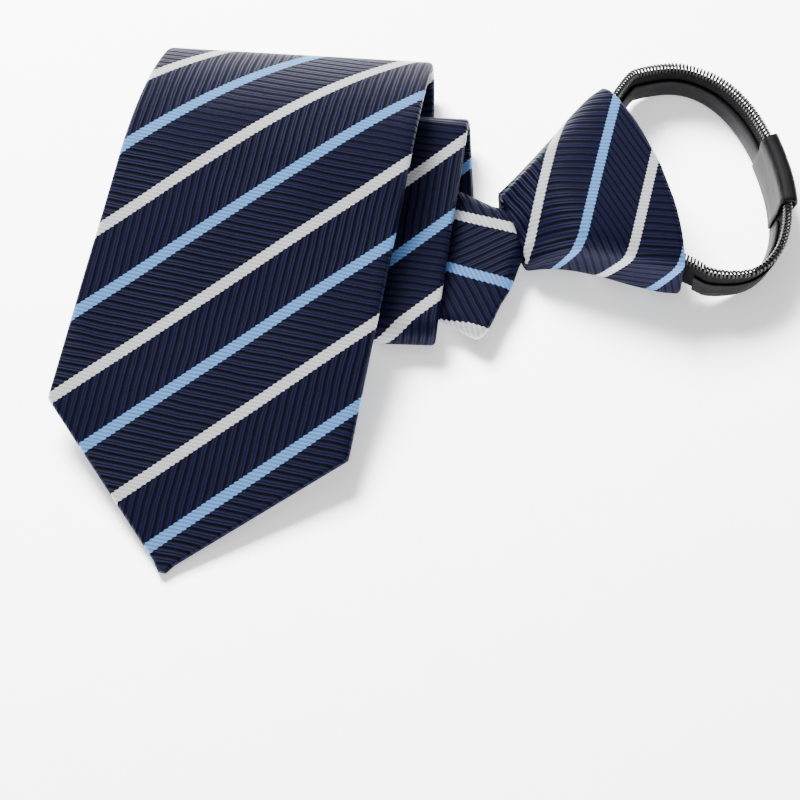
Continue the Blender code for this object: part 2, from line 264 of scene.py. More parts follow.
class Strip:
    """A flat strip, laid out from one run and folded across lines in both directions."""

    def __init__(self, start, place, angle, height):
        along = heading(angle)
        across = heading(angle + math.pi / 2)
        corner = np.array([place[0], place[1], height]) - along * start
        self.root = (corner, along, across, np.array([0.0, 0.0, -1.0]))
        self.folds = {1: [], -1: []}
        self.last = {1: self.root, -1: self.root}

    def fold(self, way, at, skew, radius, angle):
        """Bends the strip from the line at, for all that lies beyond it in this way."""
        corner, along, across, face = self.last[way]
        step = (way * math.cos(skew), -way * math.sin(skew))
        line = (math.sin(skew), math.cos(skew))
        step3 = along * step[0] + across * step[1]
        line3 = along * line[0] + across * line[1]
        centre = corner + along * at - face * radius
        turned_face = face * math.cos(angle) + step3 * math.sin(angle)
        turned_step = step3 * math.cos(angle) - face * math.sin(angle)
        along2 = line3 * line[0] + turned_step * step[0]
        across2 = line3 * line[1] + turned_step * step[1]
        corner2 = centre + turned_face * radius - turned_step * radius * angle - along2 * at
        after = (corner2, along2, across2, turned_face)
        self.folds[way].append((at, step, line, radius, angle, face, step3, line3, centre, after))
        self.last[way] = after
        return at + way * radius * angle / math.cos(skew)

    def place(self, s, w, lift=0.0):
        """The point at s along and w across the flat strip, raised off the cloth by lift."""
        frame = self.root
        for way in (1, -1):
            for at, step, line, radius, angle, face, step3, line3, centre, after in self.folds[way]:
                far = (s - at) * step[0] + w * step[1]
                if far <= 0:
                    break
                turn = far / radius
                if turn < angle:
                    side = (s - at) * line[0] + w * line[1]
                    out = face * math.cos(turn) + step3 * math.sin(turn)
                    return centre + line3 * side + out * (radius + lift)
                frame = after
        return frame[0] + frame[1] * s + frame[2] * w + frame[3] * lift


def folded_strip():
    """The blade's strip, folded, with the flat places of its runs."""
    back_turn = math.pi + PANEL_TILT - TOP_TURN
    arc = (TOP_ROLL * TOP_TURN + BACK_ROLL * back_turn) / math.cos(OUTER_SKEW)
    under_start = PANEL_LENGTH + arc
    under_end = under_start + UNDER_LENGTH
    strip = Strip(under_end, BLADE_PLACE, UNDER_HEADING, CLOTH / 2)
    top = strip.fold(-1, under_start, OUTER_SKEW, BACK_ROLL, back_turn)
    strip.fold(-1, top, OUTER_SKEW, TOP_ROLL, TOP_TURN)
    second = strip.fold(1, under_end, LOWER_SKEW, LOWER_ROLL, math.pi - SECOND_TILT)
    inner = strip.fold(1, second + SECOND_LENGTH, INNER_SKEW, INNER_ROLL, math.pi + SECOND_TILT)
    neck = strip.fold(1, inner + INNER_LENGTH, FOLD_SKEW, FOLD_RADIUS, math.pi)
    return strip, (under_start, under_end, second, inner, neck)


def blade_section(s, neck):
    """Half width of the strip at s, and its reach above and below its middle at the centreline."""
    half = BLADE_WIDTH / 2 * smooth_table(STRIP_SHAPE, 1)(s / neck)
    if s < TIP_LENGTH:
        half *= max(s / TIP_LENGTH, TIP_LEAST)
    if s <= neck:
        return half, CLOTH / 2, CLOTH / 2
    share = min((s - neck) / NECK_LENGTH, 1)
    half *= smooth_table(NECK_SHAPE, 1)(share)
    above = min(max(smooth_table(NECK_SHAPE, 2)(share), 0.0), 1.0)
    below = min(max(smooth_table(NECK_SHAPE, 3)(share), 0.0), 1.0)
    swell = (BUNDLE - CLOTH) / 2
    return half, CLOTH / 2 + swell * above, CLOTH / 2 + swell * below


def pattern_s(s):
    """The place in the cloth's pattern for a place along the strip."""
    mm = s / MM
    shift = np.interp(mm, [r[0] for r in PATTERN_SHIFT], [r[1] for r in PATTERN_SHIFT])
    return (mm - shift) * MM


def add_mesh(name, verts, faces, maps, mat, node=None):
    """A piece with its UV maps, one value per face corner, riding on the root body."""
    mesh = bpy.data.meshes.new(name)
    mesh.from_pydata([tuple(v) for v in verts], [], faces)
    for map_name, corners in maps.items():
        layer = mesh.uv_layers.new(name=map_name)
        layer.data.foreach_set("uv", np.array(corners, dtype=np.float32).ravel())
    mesh.materials.append(mat)
    mesh.shade_smooth()
    ob = bpy.data.objects.new(name, mesh)
    bpy.context.collection.objects.link(ob)
    bm = bmesh.new()
    bm.from_mesh(mesh)
    if bm.calc_volume(signed=True) < 0:
        bmesh.ops.reverse_faces(bm, faces=bm.faces)
        bm.to_mesh(mesh)
    bm.free()
    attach(ob, "root")
    if node:
        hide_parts(node)
    return ob


def ring_mesh(rings, maps_at, closed=True, caps=True):
    """Faces through equal rings, with the maps' values from maps_at(row, column, face_column)."""
    count = len(rings[0])
    verts = [p for ring in rings for p in ring]
    faces, maps = [], {}
    for r in range(len(rings) - 1):
        for i in range(count if closed else count - 1):
            j = (i + 1) % count
            faces.append((r * count + i, r * count + j, (r + 1) * count + j, (r + 1) * count + i))
            for row, column in ((r, i), (r, i + 1), (r + 1, i + 1), (r + 1, i)):
                for key, value in maps_at(row, column, i).items():
                    maps.setdefault(key, []).append(value)
    if caps:
        last = (len(rings) - 1) * count
        for row, start, order in ((0, 0, range(count)), (len(rings) - 1, last, reversed(range(count)))):
            order = list(order)
            faces.append(tuple(start + i for i in order))
            for i in order:
                for key, value in maps_at(row, i, i).items():
                    maps[key].append(value)
    return verts, faces, maps


def plain_map(form, along, across):
    """The place in a form's Plain map, which lays its whole surface inside the unit square."""
    x, y, length, width = PLAIN_MAPS[form]
    return x + along / length, y + across / width


def reach_of(points, closed=False):
    """Distance along the points from the first, and round to it again where they close."""
    points = np.array(points)
    if closed:
        points = np.concatenate([points, points[:1]])
    return np.concatenate([[0], np.cumsum(np.linalg.norm(np.diff(points, axis=0), axis=1))])


def weld(ob):
    """Joins the points that lie on each other where a form closes on itself."""
    bm = bmesh.new()
    bm.from_mesh(ob.data)
    bmesh.ops.remove_doubles(bm, verts=bm.verts, dist=WELD)
    bm.to_mesh(ob.data)
    bm.free()


def blade_row():
    """The columns of one ring of the blade: share across, turn round the edge, and which part."""
    shares = [2 * i / BLADE_COLUMNS - 1 for i in range(BLADE_COLUMNS + 1)]
    turns = [math.pi * (i + 1) / (EDGE_COLUMNS + 1) for i in range(EDGE_COLUMNS)]
    rows = [("face", x, 0.0) for x in shares]
    rows += [("right", 1.0, turn) for turn in turns]
    rows += [("back", -x, 0.0) for x in shares]
    rows += [("left", -1.0, turn) for turn in turns]
    return rows


def stations(stops):
    """Places along the strip, closer where it bends."""
    found = []
    for i, (a, b) in enumerate(zip(stops, stops[1:])):
        least, step = (BEND_CUTS, BEND_STEP) if i in BENDS else (FLAT_CUTS, FLAT_STEP)
        count = max(least, round((b - a) / step))
        found += [a + (b - a) * k / count for k in range(count)]
    return found + [stops[-1]]


def ripple(s, w):
    """The slow unevenness of cloth that lies on itself, in metres."""
    s, w = s / MM, w / MM
    grow = min(max((s - RIPPLE_START) / RIPPLE_RUN, 0), 1)
    waves = [height * math.sin(along * s + across * w + first) for height, along, across, first in RIPPLES]
    return MM * grow * sum(waves)


def make_blade(strip, places, mat):
    under_start, under_end, second, inner, neck = places
    mouth = neck + NECK_LENGTH
    stops = [TIP_BLUNT, TIP_LENGTH, PANEL_LENGTH, under_start, under_end, second]
    stops += [second + SECOND_LENGTH, inner, inner + INNER_LENGTH, neck, mouth, mouth + NECK_INSIDE]
    slants = [0, 0, OUTER_SKEW, OUTER_SKEW, LOWER_SKEW, LOWER_SKEW, INNER_SKEW, INNER_SKEW]
    slants = [math.tan(a) for a in slants + [FOLD_SKEW, FOLD_SKEW, 0, 0]]
    row = blade_row()
    radius = CLOTH / 2
    rings, marks = [], []
    for middle in stations(stops):
        slant = np.interp(middle, stops, slants)
        ring, mark = [], []
        for part, x, turn in row:
            guess = blade_section(middle, neck)[0]
            half = blade_section(middle + slant * guess * x, neck)[0]
            inside = max(half - radius, LEAST_HALF)
            s = middle + slant * inside * x
            _, above, below = blade_section(s, neck)
            crown = 1 - abs(x) ** CROWN_POWER
            wave = ripple(s, inside * x) if s < PANEL_LENGTH else 0.0
            if part == "face":
                w, lift = inside * x, radius + (above - radius) * crown
                mapped = w
            elif part == "back":
                w, lift = inside * x, -radius - (below - radius) * crown
                mapped = None
            else:
                way = 1 if part == "right" else -1
                down = turn if part == "right" else math.pi - turn
                w, lift = way * (inside + radius * math.sin(down)), radius * math.cos(down)
                mapped = way * (inside + radius * down)
            ring.append(strip.place(s, w, lift + wave))
            mark.append((pattern_s(s), mapped, w, inside))
        rings.append(ring)
        marks.append(mark)
    count = len(row)
    backs = [i for i, r in enumerate(row) if r[0] == "back"]
    middle_back = (backs[0] + backs[-1]) // 2

    def maps_at(r, column, face_column):
        along, mapped, w, inside = marks[r][column % count]
        if mapped is None:
            way = 1 if face_column < middle_back else -1
            mapped = way * (inside + math.pi * radius + inside - way * w)
        return {
            "Cloth": (along, mapped),
            "Stripe": (along - SLOPE * mapped, 0.0),
            "Plain": plain_map("blade", along - marks[0][0][0], mapped),
        }

    verts, faces, maps = ring_mesh(rings, maps_at)
    ob = add_mesh("blade_cloth", verts, faces, maps, mat, "blade")
    end = mouth + NECK_INSIDE
    cuts = np.linspace(0, end, AREA_CUTS)
    area = sum(2 * blade_section(s, neck)[0] for s in cuts) * end / len(cuts)
    return ob


class Knot:
    """The knot's own directions: its narrow mouth sits round the end of the neck."""

    def __init__(self, strip, mouth):
        self.place = strip.place(mouth, 0) * np.array([1, 1, 0])
        ahead = strip.last[1][1]
        self.angle = math.atan2(ahead[1], ahead[0]) + KNOT_TURN
        self.ahead = heading(self.angle)
        self.left = heading(self.angle + math.pi / 2)

    def point(self, along, across):
        """A plan point by shares of the knot's length and of its wide half width, to the left."""
        drift = KNOT_DRIFT * along
        return self.place + self.ahead * KNOT_LENGTH * along + self.left * (KNOT_WIDE / 2 * across - drift)


def knot_point(knot, share, turn, wall, beyond=0.0):
    """A point on the knot's section, moved inwards by wall, with how far ahead it is."""
    width = smooth_table(KNOT_SHAPE, 1)(share)
    half = (KNOT_NARROW + (KNOT_WIDE - KNOT_NARROW) * width) / 2
    thick = KNOT_THICK / 2 * smooth_table(KNOT_SHAPE, 2)(share)
    c, s = math.cos(turn), math.sin(turn)
    power = 2 / (KNOT_ROUND + (KNOT_SQUARE - KNOT_ROUND) * share)
    x = math.copysign(abs(c) ** power, c)
    z = math.copysign(abs(s) ** power, s)
    bow = KNOT_BULGE * share * (1 - x * x)
    pleat = PLEAT_DEPTH * (1 - share) ** 2 * math.sin(PLEATS * turn)
    ahead = KNOT_LENGTH * share + bow + beyond
    left = -(KNOT_DRIFT * share + (half - wall + pleat) * x)
    up = thick + (thick - wall + pleat) * z
    return knot.place + knot.ahead * ahead + knot.left * left + np.array([0, 0, up]), ahead


def make_knot(knot, mat):
    """The wrapped knot: outside, a rounded lip at each end, and inside."""
    lip = [math.pi * i / LIP_CUTS for i in range(1, LIP_CUTS)]
    radius = KNOT_WALL / 2
    track = [(i / KNOT_ROWS, 0.0, 0.0) for i in range(KNOT_ROWS + 1)]
    track += [(1.0, radius * (1 - math.cos(turn)), radius * math.sin(turn)) for turn in lip]
    track += [(i / KNOT_ROWS, KNOT_WALL, 0.0) for i in range(KNOT_ROWS, -1, -1)]
    track += [(0.0, radius * (1 + math.cos(turn)), -radius * math.sin(turn)) for turn in lip]
    track.append(track[0])
    rings, marks = [], []
    for share, wall, beyond in track:
        turns = [2 * math.pi * i / KNOT_SIDES for i in range(KNOT_SIDES)]
        found = [knot_point(knot, share, turn, wall, beyond) for turn in turns]
        ring = [point for point, _ in found]
        rings.append(ring)
        marks.append([(ahead, left) for (_, ahead), left in zip(found, unrolled(ring, KNOT_SIDES // 4))])

    def maps_at(r, column, face_column):
        ahead, left = marks[r][column % KNOT_SIDES]
        return knot_maps(ahead, left)

    verts, faces, maps = ring_mesh(rings, maps_at, caps=False)
    ob = add_mesh("knot_cloth", verts, faces, maps, mat, "knot")
    weld(ob)
    return ob


def unrolled(ring, middle):
    """Distance round the ring from its top middle, to the left."""
    count = len(ring)
    found = [0.0] * count
    for way in (1, -1):
        reach = 0.0
        for k in range(1, count // 2 + 1):
            a = ring[(middle + way * (k - 1)) % count]
            b = ring[(middle + way * k) % count]
            reach += float(np.linalg.norm(b - a))
            found[(middle + way * k) % count] = way * reach
    return found


def knot_maps(ahead, left):
    """The knot's map values for a place this far ahead and to the left."""
    x, y = ahead / MM, left / MM
    stripe = max(KNOT_FIRST + KNOT_AHEAD * x + KNOT_LEFT * y, KNOT_LEAST)
    level = LEVEL_RIBS[0] * x + LEVEL_RIBS[1] * y
    steep = STEEP_RIBS[0] * x + STEEP_RIBS[1] * y
    return {
        "Cloth": (level * MM, steep * MM),
        "Stripe": (stripe * MM, 0.0),
        "Plain": plain_map("knot", ahead, left),
    }


def loop_middle(knot):
    return knot.place + knot.ahead * LOOP_AHEAD + knot.left * LOOP_ASIDE


def loop_point(knot, turn):
    """A plan point of the neckband's loop, at this angle from its short axis."""
    c, s = math.cos(turn), math.sin(turn)
    power = 2 / LOOP_SQUARENESS
    x = LOOP_SHORT / 2 * math.copysign(abs(c) ** power, c)
    y = LOOP_LONG / 2 * math.copysign(abs(s) ** power, s)
    long = knot.angle + LOOP_TURN
    return loop_middle(knot) + heading(long - math.pi / 2) * x + heading(long) * y


def band_route(knot, side):
    """The plan route of one run of the band, from inside the knot to the sleeve, evenly spaced."""
    start = UPPER_TURN if side > 0 else LOWER_TURN
    lead = [knot.point(along, across * side) for along, across in BAND_LEAD]
    turns = [start + (SLEEVE_TURN - start) * i / ROUTE_TURNS for i in range(ROUTE_TURNS + 1)]
    return even_route(lead + [loop_point(knot, t) for t in turns], ROUTE_STEP)


def even_route(points, step):
    """A smooth curve through the points, cut into equal steps."""
    dense = []
    ends = [2 * points[0] - points[1]] + points + [2 * points[-1] - points[-2]]
    for i in range(1, len(ends) - 2):
        a, b, c, d = ends[i - 1:i + 3]
        for k in range(CURVE_CUTS):
            t = k / CURVE_CUTS
            dense.append(
                0.5 * (2 * b + (c - a) * t + (2 * a - 5 * b + 4 * c - d) * t * t
                       + (3 * b - a - 3 * c + d) * t**3)
            )
    dense.append(points[-1])
    reach = reach_of(dense)
    count = round(reach[-1] / step)
    places = np.linspace(0, reach[-1], count + 1)
    return np.stack([np.interp(places, reach, np.array(dense)[:, k]) for k in range(3)], 1)


def side_of(route, middle_point):
    """The level direction that points out of the loop at each point of the route."""
    ahead = np.gradient(route, axis=0)
    out = np.stack([ahead[:, 1], -ahead[:, 0], 0 * ahead[:, 0]], 1)
    out /= np.linalg.norm(out, axis=1)[:, None]
    middle = len(route) // 2
    if np.dot(out[middle], route[middle] - middle_point) < 0:
        out = -out
    return out


def level_share(route):
    """One where the band is level at the knot's height, then smoothly down to none."""
    share = np.clip(1 - (reach_of(route) - LIFT_START) / LIFT_RUN, 0, 1)
    return share * share * (3 - 2 * share)


def band_lift(route):
    """How far the band stands off the surface: it rises to go into the knot."""
    return SLEEVE_WALL + GAP + TAPE_LIFT * level_share(route)


def loop_lean(knot, out):
    """How far the loop leans out at each point, for each metre up."""
    far = heading(knot.angle + LOOP_TURN - math.pi / 2 + LEAN_TURN)
    return LEAN * np.clip(out @ far, 0, 1)


def run_of(knot, side):
    """Route, outward directions, reach and lean of one run, lifted to its height."""
    route = band_route(knot, side)
    out = side_of(route, loop_middle(knot))
    lean = loop_lean(knot, out) * (1 - level_share(route))
    return route + np.outer(band_lift(route), (0, 0, 1)), out, reach_of(route), lean


def leaning(place, out, lean, section):
    """A section of (out, up) points set at a place on the route."""
    return [place + out * (x + lean * z) + np.array([0, 0, z]) for x, z in section]


def ribbon(name, run, section, mat, node, start, end):
    """A band along the run, from a closed section of (out, up) points in metres."""
    route, out, reach, lean = run
    keep = [i for i in range(len(route)) if start <= reach[i] <= end]
    around = reach_of(section, closed=True)
    rings = [leaning(route[i], out[i], lean[i], section) for i in keep]

    def maps_at(r, column, face_column):
        u, v = reach[keep[r]], around[column]
        return {"Cloth": (u, v), "Plain": plain_map("band", u, v)}

    verts, faces, maps = ring_mesh(rings, maps_at)
    return add_mesh(name, verts, faces, maps, mat, node)


def rounded(low, high, inner, outer, radius):
    """A closed rounded rectangle of (out, up) points."""
    rows = []
    for cx, cz, first in (
        (outer - radius, low + radius, -90),
        (outer - radius, high - radius, 0),
        (inner + radius, high - radius, 90),
        (inner + radius, low + radius, 180),
    ):
        for k in range(CORNER_CUTS):
            turn = math.radians(first + 90 * k / (CORNER_CUTS - 1))
            rows.append((cx + radius * math.cos(turn), cz + radius * math.sin(turn)))
    return rows


def coil_path():
    """One tooth from inside the loop to outside: out, up and ahead, in metres."""
    half = TEETH_THICK / 2 - COIL_RADIUS
    low = TAPE_HEIGHT + GAP + COIL_SINK * COIL_RADIUS
    top = TAPE_HEIGHT + GAP + TEETH_HEIGHT - COIL_RADIUS
    path = []
    for k in range(COIL_CUTS + 1):
        turn = math.pi * k / COIL_CUTS
        rise = low + (top - low) * math.sin(turn) ** COIL_SQUARENESS
        path.append((-half * math.cos(turn), rise, COIL_SLANT * COIL_PITCH * math.cos(turn)))
    return path


def make_teeth(name, run, end, mat, node):
    """The zip's coil: one loop of stiff thread for each tooth, over the tape's upper edge."""
    route, out, reach, lean = run
    path = coil_path()
    verts, faces, corners = [], [], []
    for tooth in range(int(end / COIL_PITCH)):
        place = (tooth + 0.5) * COIL_PITCH
        i = min(int(np.searchsorted(reach, place)), len(route) - 1)
        base = np.array([np.interp(place, reach, route[:, k]) for k in range(3)])
        outward = out[i]
        ahead = np.cross(outward, (0, 0, 1))
        first = len(verts)
        for k, (x, z, y) in enumerate(path):
            before, after = path[max(k - 1, 0)], path[min(k + 1, COIL_CUTS)]
            tx, tz = after[0] - before[0], after[1] - before[1]
            size = math.hypot(tx, tz)
            nx, nz = -tz / size, tx / size
            for j in range(COIL_SIDES):
                turn = 2 * math.pi * j / COIL_SIDES
                c, s = COIL_RADIUS * math.cos(turn), COIL_RADIUS * math.sin(turn)
                place3 = base + outward * (x + lean[i] * z + nx * c) + ahead * (y + s)
                verts.append(place3 + np.array([0, 0, z + nz * c]))
        for k in range(COIL_CUTS):
            a = first + k * COIL_SIDES
            b = a + COIL_SIDES
            for j in range(COIL_SIDES):
                m = (j + 1) % COIL_SIDES
                faces.append((a + j, a + m, b + m, b + j))
        faces.append(tuple(first + j for j in reversed(range(COIL_SIDES))))
        faces.append(tuple(first + COIL_CUTS * COIL_SIDES + j for j in range(COIL_SIDES)))
    for face in faces:
        corners += [(0.5, 0.5)] * len(face)
    ob = add_mesh(name, verts, faces, {"Plain": corners}, mat, node)
    bm = bmesh.new()
    bm.from_mesh(ob.data)
    bmesh.ops.recalc_face_normals(bm, faces=bm.faces)
    bm.to_mesh(ob.data)
    bm.free()
    return ob


def make_neckband(knot, tape, teeth, band):
    half = TAPE_THICK / 2
    flat = rounded(0, TAPE_HEIGHT + TAPE_OVERLAP, -half, half, TAPE_CORNER)
    made = []
    for side, word in ((1, "upper"), (-1, "lower")):
        run = run_of(knot, side)
        length = run[2][-1]
        stop = length - SLEEVE_LENGTH / 2
        name, node = "tape_cloth_" + word, "zip_tape_" + word
        made.append(ribbon(name, run, flat, tape, node, 0.0, length - ROUTE_STEP))
        name, node = "coil_" + word, "zip_teeth_" + word
        made.append(make_teeth(name, run, stop + COIL_TUCK, teeth, node))
        name, node = "folded_band_" + word, "neck_band_" + word
        made.append(ribbon(name, run, folded(half), band, node, BAND_START, stop))
    return made


def folded(half):
    """The section of the smooth band, folded round the tape's lower half."""
    inside = half + BAND_GAP
    outside = inside + BAND_THICK
    soft = BAND_CORNER
    right = [
        (outside - 2 * soft, -3 * soft),
        (outside, soft),
        (outside, BAND_HEIGHT / 2),
        (outside, BAND_HEIGHT - soft),
        (outside - soft, BAND_HEIGHT),
        (inside, BAND_HEIGHT - soft),
        (inside, BAND_HEIGHT / 2),
        (inside, 0.0),
    ]
    return right + [(-x, z) for x, z in reversed(right)]


def sleeve_section(grow):
    """The sleeve's section round the tape and the teeth, moved outwards by grow."""
    right = []
    for x, z in SLEEVE_SHAPE:
        spread = (z * MM - SLEEVE_MIDDLE) / SLEEVE_MIDDLE
        right.append((x * MM + grow, z * MM + grow * spread))
    return right + [(-x, z) for x, z in reversed(right)]


def make_sleeve(knot, mat):
    """A flat tube round the joint of the two tapes."""
    upper = band_route(knot, 1)
    lower = band_route(knot, -1)[::-1]
    steps = round(SLEEVE_LENGTH / 2 / ROUTE_STEP)
    route = np.concatenate([upper[-steps - 1:-1], lower[:steps + 1]])
    out = side_of(route, loop_middle(knot))
    lean = loop_lean(knot, out)
    route = route + np.array([0, 0, SLEEVE_WALL + GAP])
    section = sleeve_section(SLEEVE_COVER)
    around = reach_of(section, closed=True)
    outer = [leaning(p, o, k, section) for p, o, k in zip(route, out, lean)]
    inner = [leaning(p, o, k, sleeve_section(0.0)) for p, o, k in zip(route, out, lean)]
    rings = outer + inner[::-1] + [outer[0]]
    reach = list(reach_of(route))
    lengths = reach + reach[::-1] + [reach[0]]

    def maps_at(r, column, face_column):
        u, v = lengths[r], around[column]
        return {"Cloth": (u, v), "Plain": plain_map("sleeve", u, v)}

    verts, faces, maps = ring_mesh(rings, maps_at, caps=False)
    ob = add_mesh("sleeve_cover", verts, faces, maps, mat, "joint_sleeve")
    weld(ob)
    return ob


class Finish:
    """A material with short calls for its nodes."""

    def __init__(self, name, **values):
        self.mat = bpy.data.materials.new(name)
        self.mat.use_nodes = True
        self.tree = self.mat.node_tree
        self.shader = self.tree.nodes["Principled BSDF"]
        for key, value in values.items():
            self.shader.inputs[key.replace("_", " ")].default_value = value

    def node(self, kind, inputs=(), **settings):
        """A new node, with its settings made and its inputs linked or set."""
        made = self.tree.nodes.new(kind)
        for key, value in settings.items():
            setattr(made, key, value)
        for key, value in dict(inputs).items():
            if isinstance(value, bpy.types.NodeSocket):
                self.tree.links.new(value, made.inputs[key])
            else:
                made.inputs[key].default_value = value
        return made

    def math(self, operation, *values):
        return self.node("ShaderNodeMath", enumerate(values), operation=operation).outputs[0]

    def split(self, map_name):
        """The two coordinates of a UV map, in millimetres."""
        uv = self.node("ShaderNodeUVMap", uv_map=map_name).outputs[0]
        parts = self.node("ShaderNodeSeparateXYZ", {0: uv}).outputs
        return self.math("MULTIPLY", parts[0], 1 / MM), self.math("MULTIPLY", parts[1], 1 / MM)

    def mix(self, share, a, b):
        """A colour between a and b."""
        return self.node("ShaderNodeMix", {0: share, 6: a, 7: b}, data_type="RGBA").outputs[2]

    def blend(self, share, a, b):
        """A number between a and b."""
        return self.node("ShaderNodeMix", {0: share, 2: a, 3: b}, data_type="FLOAT").outputs[0]

    def ramp(self, share, stops):
        made = self.node("ShaderNodeValToRGB", {0: share})
        made.color_ramp.interpolation = "B_SPLINE"
        while len(made.color_ramp.elements) < len(stops):
            made.color_ramp.elements.new(0.5)
        for element, (place, value) in zip(made.color_ramp.elements, stops):
            element.position = place
            element.color = (value, value, value, 1)
        return made.outputs[0]

    def noise(self, x, y, scale, detail=2.0):
        vector = self.node("ShaderNodeCombineXYZ", {0: x, 1: y}).outputs[0]
        values = {"Vector": vector, "Scale": scale, "Detail": detail}
        return self.node("ShaderNodeTexNoise", values).outputs[0]

    def cloud(self, scale):
        """Soft noise in the object's own space."""
        place = self.node("ShaderNodeTexCoord").outputs["Object"]
        return self.node("ShaderNodeTexNoise", {"Vector": place, "Scale": scale, "Detail": 3.0}).outputs[0]

    def bump(self, height, distance):
        made = self.node("ShaderNodeBump", {"Height": height, "Distance": distance, "Strength": 1.0})
        self.set("Normal", made.outputs[0])

    def set(self, name, value):
        self.tree.links.new(value, self.shader.inputs[name])


def srgb(*values):
    """A linear colour from 8-bit values."""
    found = [v / 255 for v in values]
    return tuple(v / 12.92 if v <= 0.04045 else ((v + 0.055) / 1.055) ** 2.4 for v in found) + (1,)


RIB_SHAPE = (
    # share of the pitch, height: a deep groove, and a shallow one between the two humps
    (0.00, 0.00),
    (0.13, 0.05),
    (0.27, 1.00),
    (0.40, 0.90),
    (0.50, 0.30),
    (0.60, 0.90),
    (0.73, 1.00),
    (0.87, 0.05),
    (1.00, 0.00),
)

# Weaves: lengths and the depths of the bumps in mm, the rest as shares
FLECK_TONE = 0.35         # how much the silk's random flecks change its tone
# How much painted shade darkens the silk between its threads, and how much lighter it is on them.
THREAD_SHADE = 0.10
THREAD_RISE = 0.05
STRIPE_RIBS = 0.30        # how much of the ribs is left inside the stripes
STRIPE_RISE = 0.30        # how far the stripes stand above the ground
SILK_DEPTH = 0.26
TWILL = 0.62              # from one diagonal of the tape to the next
TWILL_SLANT = 0.8
TAPE_THREAD = 0.55
TAPE_DEPTH = 0.09
BAND_THREAD = 0.38
BAND_DEPTH = 0.35

# Colours from the dark end to the pale end. On the silk and the tape the dark end is painted shade in the
# grooves and hollows of the weave and the pale end its ridges, mixed with random flecks; on the band it is
# painted shade in the hollows of its creases; on the coil and the floor it is only random flecks.
COLOURS = {
    "navy": (srgb(4, 5, 14), srgb(24, 25, 62)),
    "white": (srgb(198, 199, 205), srgb(236, 236, 237)),
    "light_blue": (srgb(84, 132, 200), srgb(122, 174, 234)),
    "tape": (srgb(5, 5, 6), srgb(22, 22, 25)),
    "coil": (srgb(7, 7, 8), srgb(26, 26, 29)),
    "band": (srgb(6, 6, 8), srgb(22, 22, 26)),
    "paper": ((0.90, 0.90, 0.90, 1), (0.94, 0.94, 0.94, 1)),
}


def striped_silk():
    """Ribbed silk: its ribs turn where a stripe crosses, and are finer inside the stripes."""
    f = Finish(
        "striped_silk",
        Sheen_Weight=0.04,
        Sheen_Roughness=0.35,
        Sheen_Tint=(0.30, 0.34, 0.85, 1),
        Specular_IOR_Level=0.08,
    )
    s, w = f.split("Cloth")
    q, _ = f.split("Stripe")
    drift = f.math("MULTIPLY", f.math("SUBTRACT", f.noise(s, w, 0.08), 0.5), RIB_DRIFT)
    s_drift = f.math("ADD", s, drift)
    w_drift = f.math("ADD", w, drift)
    rib_s = f.ramp(f.math("FRACT", f.math("DIVIDE", s_drift, RIB)), RIB_SHAPE)
    rib_w = f.ramp(f.math("FRACT", f.math("DIVIDE", w_drift, RIB)), RIB_SHAPE)
    fine = f.math("PINGPONG", f.math("DIVIDE", s_drift, RIB / 4), 1.0)

    phase = f.math("FRACT", f.math("DIVIDE", f.math("SUBTRACT", q, FIRST_BLUE), PERIOD))
    to_white = f.math("MULTIPLY", f.math("ABSOLUTE", f.math("SUBTRACT", phase, 0.5)), PERIOD)
    to_blue = f.math("SUBTRACT", PERIOD / 2, to_white)
    half = f.math("MULTIPLY_ADD", f.math("SUBTRACT", fine, 0.5), STRIPE_WAVE, STRIPE_HALF)
    white = edge_mask(f, to_white, half)
    blue = edge_mask(f, to_blue, half)
    stripe = f.math("MAXIMUM", white, blue)

    lengthwise = f.math("MULTIPLY", f.math("LESS_THAN", phase, 0.5), f.math("SUBTRACT", 1.0, stripe))
    rib = f.blend(stripe, f.blend(lengthwise, rib_s, rib_w), fine)
    across = f.blend(lengthwise, w, s)
    wave = f.math("SINE", f.math("MULTIPLY", across, 2 * math.pi / THREAD))
    thread = f.math("MULTIPLY_ADD", wave, 0.5, 0.5)
    fleck = f.noise(s, w, 1.7, 4.0)
    # Painted shade: the colour darkens into the grooves of the ribs and between the threads, and is
    # lighter on the ridges, over the random flecks.
    shade_and_fleck = f.math("MULTIPLY_ADD", f.math("SUBTRACT", fleck, 0.5), FLECK_TONE, rib)
    shade_and_fleck = f.math("MULTIPLY_ADD", f.math("SUBTRACT", thread, 0.5), THREAD_SHADE, shade_and_fleck)
    navy = f.mix(shade_and_fleck, *COLOURS["navy"])
    pale = f.mix(shade_and_fleck, *COLOURS["white"])
    sky = f.mix(shade_and_fleck, *COLOURS["light_blue"])
    f.set("Base Color", f.mix(blue, f.mix(white, navy, pale), sky))
    f.set("Roughness", f.blend(rib, 0.62, 0.42))

    height = f.math("MULTIPLY", rib, f.blend(stripe, 1.0, STRIPE_RIBS))
    height = f.math("MULTIPLY_ADD", thread, THREAD_RISE, height)
    height = f.math("MULTIPLY_ADD", stripe, STRIPE_RISE, height)
    f.bump(height, SILK_DEPTH * MM)
    return f.mat


def edge_mask(f, distance, half):
    """One inside the stripe, with a thread's width of softness at its edge."""
    far = f.math("ADD", half, STRIPE_SOFT)
    near = f.math("SUBTRACT", half, STRIPE_SOFT)
    return f.node("ShaderNodeMapRange", {0: distance, 1: far, 2: near, 3: 0.0, 4: 1.0}).outputs[0]


